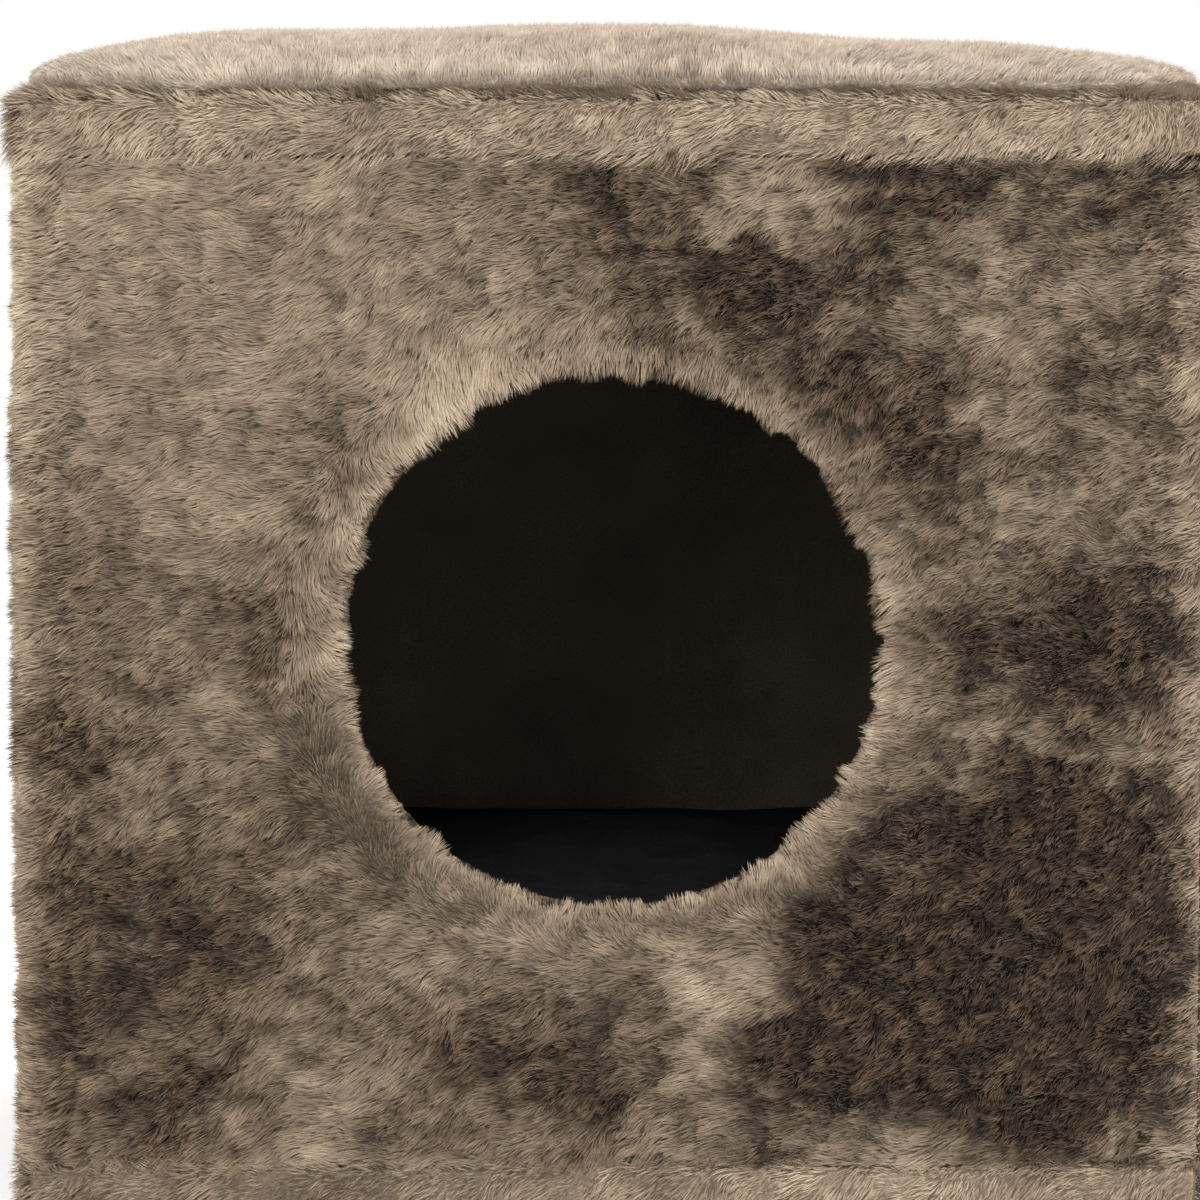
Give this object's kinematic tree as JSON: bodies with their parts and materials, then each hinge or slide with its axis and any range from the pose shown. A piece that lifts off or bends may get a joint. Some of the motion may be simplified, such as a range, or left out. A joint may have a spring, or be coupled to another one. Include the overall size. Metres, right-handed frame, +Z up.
{
  "type": "cat condo",
  "caption": "Plush-covered box den for a cat with a round front entrance, a crowned top pad that lifts off and a loose floor cushion inside.",
  "frame": {"origin": "on the floor under the middle of the box", "axes": "+Z up, the entrance faces -Y, +X to the right of someone who faces the entrance"},
  "size_m": [0.364, 0.364, 0.3673],
  "materials": {
    "plush": "brushed faux fur, brown with lighter tips",
    "pad_plush": "brushed faux fur, light tan",
    "felt": "flat dark brown felt",
    "board": "bare fibreboard",
    "post": "planed softwood",
    "steel": "zinc plated",
    "brass": "machined",
    "foot": "fine texture",
    "cloth": "non-woven cloth",
    "strip": "hook and loop tape",
    "cushion": "short dark fleece",
    "foam": "open-cell foam"
  },
  "bodies": {
    "den": {"base_board": "board", "base_cover": "plush", "base_staples": "steel", "dust_cover": "cloth", "feet": "foot", "foot_nails": "steel", "base_bolts": "steel", "base_washers": "steel", "base_inserts": "brass", "corner_post_front_left": "post", "corner_post_front_right": "post", "corner_post_back_left": "post", "corner_post_back_right": "post", "front_panel": "board", "front_cover": "plush", "front_lining": "felt", "front_panel_screws": "steel", "door_staples": "steel", "back_panel": "board", "back_cover": "plush", "back_lining": "felt", "back_panel_screws": "steel", "left_panel": "board", "left_cover": "plush", "left_lining": "felt", "left_panel_screws": "steel", "right_panel": "board", "right_cover": "plush", "right_lining": "felt", "right_panel_screws": "steel", "top_board": "board", "top_cover": "plush", "top_staples": "steel", "ceiling_lining": "felt", "top_bolts": "steel", "top_washers": "steel", "top_inserts": "brass", "pad_hook_strips": "strip"},
    "top_pad": {"pad_loop_strips": "strip", "pad_underside": "cloth", "pad_foam": "foam", "pad_cover": "pad_plush"},
    "floor_cushion": {"cushion_underside": "cloth", "cushion_filling": "foam", "cushion_cover": "cushion"}
  },
  "joints": [
    {"name": "top_pad_lift", "type": "slide", "parent": "den", "child": "top_pad", "axis": [0, 0, 1], "range_m": [0, 0.15]},
    {"name": "floor_cushion_lift", "type": "slide", "parent": "den", "child": "floor_cushion", "axis": [0, 0, 1], "range_m": [0, 0.2]}
  ]
}
